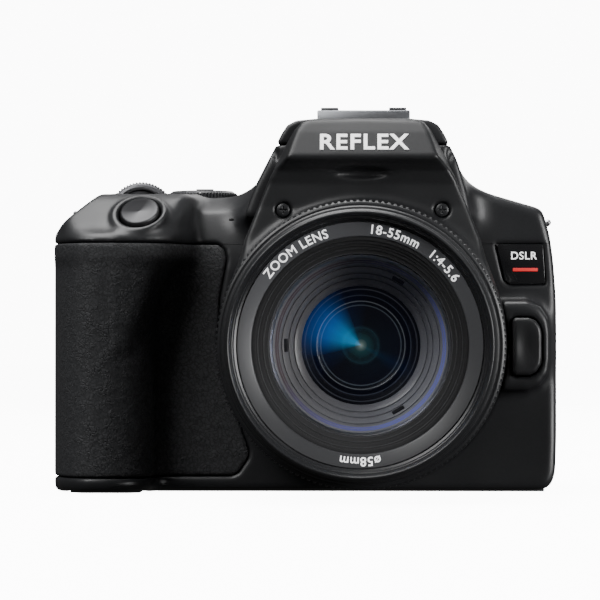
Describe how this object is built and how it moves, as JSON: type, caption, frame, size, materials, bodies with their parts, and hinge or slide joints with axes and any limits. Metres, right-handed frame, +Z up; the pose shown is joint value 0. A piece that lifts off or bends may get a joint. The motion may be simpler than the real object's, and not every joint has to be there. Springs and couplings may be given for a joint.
{
  "type": "digital single-lens reflex camera",
  "caption": "Compact digital reflex camera body with a rubber grip, raised finder hump with pop-up flash, side-hinged rear screen and a short standard zoom lens.",
  "frame": {"origin": "on the base, under the lens axis, at the image plane", "axes": "+X across the body from the grip to the connector side, +Y from the lens to the screen, +Z up from the base"},
  "size_m": [0.122, 0.131, 0.0945],
  "materials": {
    "body_plastic": "moulded, fine matte texture",
    "panel_plastic": "smooth satin",
    "grip_rubber": "fine leather grain",
    "gloss_black": "gloss",
    "button_metal": "spun, dark",
    "bright_metal": "satin",
    "lens_barrel": "satin with fine ribs on the rings",
    "inner_black": "dead matt",
    "glass": "coated",
    "screen_glass": "polished",
    "mirror": "front-silvered",
    "circuit_board": "solder mask",
    "battery_plastic": "plain"
  },
  "bodies": {
    "body": {"front_cover": "body_plastic", "top_cover": "body_plastic", "rear_cover": "body_plastic", "bottom_plate": "body_plastic", "front_panel": "panel_plastic", "panel_screw_left": "gloss_black", "panel_screw_right": "gloss_black", "nameplate": "gloss_black", "grip_rubber": "grip_rubber", "thumb_rubber": "grip_rubber", "hot_shoe_base": "body_plastic", "hot_shoe_rails": "bright_metal", "eyepiece_lens": "glass", "tripod_socket": "bright_metal", "strap_lug_left": "bright_metal", "strap_lug_right": "bright_metal", "mirror_box": "inner_black", "pentamirror": "inner_black", "image_sensor": "screen_glass", "main_board": "circuit_board", "mount_ring": "bright_metal", "lens_bayonet": "lens_barrel", "lens_barrel": "lens_barrel", "battery_pack": "battery_plastic"},
    "flash_arms": {"flash_arms": "button_metal"},
    "flash_head": {"flash_head": "body_plastic", "flash_window": "glass"},
    "shutter_button": {"shutter_button": "button_metal"},
    "main_dial": {"main_dial": "body_plastic"},
    "mode_dial": {"mode_dial": "body_plastic"},
    "power_lever": {"power_lever": "body_plastic"},
    "iso_button": {"iso_button": "gloss_black"},
    "disp_button": {"disp_button": "gloss_black"},
    "lens_release_button": {"lens_release_button": "panel_plastic"},
    "lens_lock_pin": {"lens_lock_pin": "bright_metal"},
    "menu_button": {"menu_button": "gloss_black"},
    "live_view_button": {"live_view_button": "gloss_black"},
    "ae_lock_button": {"ae_lock_button": "gloss_black"},
    "af_point_button": {"af_point_button": "gloss_black"},
    "exposure_button": {"exposure_button": "gloss_black"},
    "playback_button": {"playback_button": "gloss_black"},
    "erase_button": {"erase_button": "gloss_black"},
    "cross_keys": {"cross_keys": "gloss_black"},
    "set_button": {"set_button": "gloss_black"},
    "eyecup": {"eyecup": "grip_rubber"},
    "diopter_knob": {"diopter_knob": "body_plastic"},
    "screen": {"lcd_hinge_block": "body_plastic", "lcd_case": "body_plastic", "lcd_glass": "screen_glass"},
    "port_cover_front": {"port_cover_front": "grip_rubber"},
    "port_cover_rear": {"port_cover_rear": "grip_rubber"},
    "battery_door": {"battery_door": "body_plastic"},
    "battery_latch": {"battery_latch": "gloss_black"},
    "reflex_mirror": {"reflex_mirror": "mirror"},
    "zoom_ring": {"zoom_ring": "lens_barrel"},
    "inner_barrel": {"inner_barrel": "lens_barrel", "front_trim_ring": "lens_barrel", "front_element": "glass", "optical_cell": "inner_black"},
    "focus_ring": {"focus_ring": "lens_barrel"}
  },
  "joints": [
    {"name": "flash_lift", "type": "hinge", "parent": "body", "child": "flash_arms", "pos_m": [0, -0.0103, 0.0851], "axis": [-1, 0, 0], "range_deg": [0, 72]},
    {"name": "flash_level", "type": "hinge", "parent": "flash_arms", "child": "flash_head", "pos_m": [0, -0.03133, 0.08063], "axis": [-1, 0, 0], "range_deg": [-72, 0]},
    {"name": "shutter_press", "type": "slide", "parent": "body", "child": "shutter_button", "axis": [0.1, 0.6651, -0.7401], "range_m": [0, 0.0012], "stiffness_N_per_m": 150, "springref_m": -0.0004},
    {"name": "main_dial_turn", "type": "hinge", "parent": "body", "child": "main_dial", "pos_m": [-0.054, -0.0273, 0.0671], "axis": [0, 1, 0], "continuous": true},
    {"name": "mode_dial_turn", "type": "hinge", "parent": "body", "child": "mode_dial", "pos_m": [-0.0402, -0.006, 0.0698], "axis": [0, 0, 1], "continuous": true},
    {"name": "power_lever_turn", "type": "hinge", "parent": "body", "child": "power_lever", "pos_m": [-0.0402, -0.006, 0.0698], "axis": [0, 0, 1], "range_deg": [0, 50]},
    {"name": "iso_press", "type": "slide", "parent": "body", "child": "iso_button", "axis": [0, 0, -1], "range_m": [0, 0.0006], "stiffness_N_per_m": 150, "springref_m": -0.0004},
    {"name": "disp_press", "type": "slide", "parent": "body", "child": "disp_button", "axis": [0, 0, -1], "range_m": [0, 0.0006], "stiffness_N_per_m": 150, "springref_m": -0.0004},
    {"name": "lens_release_press", "type": "slide", "parent": "body", "child": "lens_release_button", "axis": [0, 1, 0], "range_m": [0, 0.001], "stiffness_N_per_m": 300, "springref_m": -0.0004},
    {"name": "lens_lock_retract", "type": "slide", "parent": "body", "child": "lens_lock_pin", "axis": [0, 1, 0], "range_m": [0, 0.0015]},
    {"name": "menu_press", "type": "slide", "parent": "body", "child": "menu_button", "axis": [0, -1, 0], "range_m": [0, 0.0006], "stiffness_N_per_m": 150, "springref_m": -0.0004},
    {"name": "live_view_press", "type": "slide", "parent": "body", "child": "live_view_button", "axis": [0, -1, 0], "range_m": [0, 0.0006], "stiffness_N_per_m": 150, "springref_m": -0.0004},
    {"name": "ae_lock_press", "type": "slide", "parent": "body", "child": "ae_lock_button", "axis": [0, -1, 0], "range_m": [0, 0.0006], "stiffness_N_per_m": 150, "springref_m": -0.0004},
    {"name": "af_point_press", "type": "slide", "parent": "body", "child": "af_point_button", "axis": [0, -1, 0], "range_m": [0, 0.0006], "stiffness_N_per_m": 150, "springref_m": -0.0004},
    {"name": "exposure_press", "type": "slide", "parent": "body", "child": "exposure_button", "axis": [0, -1, 0], "range_m": [0, 0.0006], "stiffness_N_per_m": 150, "springref_m": -0.0004},
    {"name": "playback_press", "type": "slide", "parent": "body", "child": "playback_button", "axis": [0, -1, 0], "range_m": [0, 0.0006], "stiffness_N_per_m": 150, "springref_m": -0.0004},
    {"name": "erase_press", "type": "slide", "parent": "body", "child": "erase_button", "axis": [0, -1, 0], "range_m": [0, 0.0006], "stiffness_N_per_m": 150, "springref_m": -0.0004},
    {"name": "cross_keys_rock", "type": "hinge", "parent": "body", "child": "cross_keys", "pos_m": [-0.046, 0.015, 0.0295], "axis": [1, 0, 0], "range_deg": [-3, 3], "stiffness_Nm_per_rad": 0.02},
    {"name": "set_press", "type": "slide", "parent": "body", "child": "set_button", "axis": [0, -1, 0], "range_m": [0, 0.0006], "stiffness_N_per_m": 150, "springref_m": -0.0004},
    {"name": "eyecup_slide", "type": "slide", "parent": "body", "child": "eyecup", "axis": [0, 0, 1], "range_m": [0, 0.012]},
    {"name": "diopter_turn", "type": "hinge", "parent": "body", "child": "diopter_knob", "pos_m": [-0.016, 0.0178, 0.075], "axis": [1, 0, 0], "range_deg": [-150, 150]},
    {"name": "screen_swing", "type": "hinge", "parent": "body", "child": "screen", "pos_m": [0.0426, 0.015, 0.0315], "axis": [0, 0, -1], "range_deg": [0, 175]},
    {"name": "port_cover_front_open", "type": "hinge", "parent": "body", "child": "port_cover_front", "pos_m": [0.047, -0.0247, 0.03], "axis": [0, 0, -1], "range_deg": [0, 120]},
    {"name": "port_cover_rear_open", "type": "hinge", "parent": "body", "child": "port_cover_rear", "pos_m": [0.047, -0.0043, 0.03], "axis": [0, 0, 1], "range_deg": [0, 120]},
    {"name": "battery_door_open", "type": "hinge", "parent": "body", "child": "battery_door", "pos_m": [-0.0535, -0.026, 0], "axis": [0, -1, 0], "range_deg": [0, 100], "stiffness_Nm_per_rad": 0.02, "springref_deg": -11.46},
    {"name": "battery_latch_slide", "type": "slide", "parent": "battery_door", "child": "battery_latch", "axis": [1, 0, 0], "range_m": [0, 0.0025]},
    {"name": "mirror_lift", "type": "hinge", "parent": "body", "child": "reflex_mirror", "pos_m": [0, -0.009, 0.0495], "axis": [-1, 0, 0], "range_deg": [0, 45]},
    {"name": "zoom_turn", "type": "hinge", "parent": "body", "child": "zoom_ring", "pos_m": [0, -0.074, 0.0355], "axis": [0, 1, 0], "range_deg": [0, 70]},
    {"name": "zoom_extend", "type": "slide", "parent": "body", "child": "inner_barrel", "axis": [0, -1, 0], "range_m": [0, 0.018]},
    {"name": "focus_turn", "type": "hinge", "parent": "inner_barrel", "child": "focus_ring", "pos_m": [0, -0.0937, 0.0355], "axis": [0, 1, 0], "continuous": true}
  ],
  "couplings": [
    {"joint": "flash_level", "follows": "flash_lift", "ratio": -1},
    {"joint": "zoom_extend", "follows": "zoom_turn", "m_per_rad": 0.0147},
    {"joint": "lens_lock_retract", "follows": "lens_release_press", "ratio": 1.5}
  ]
}
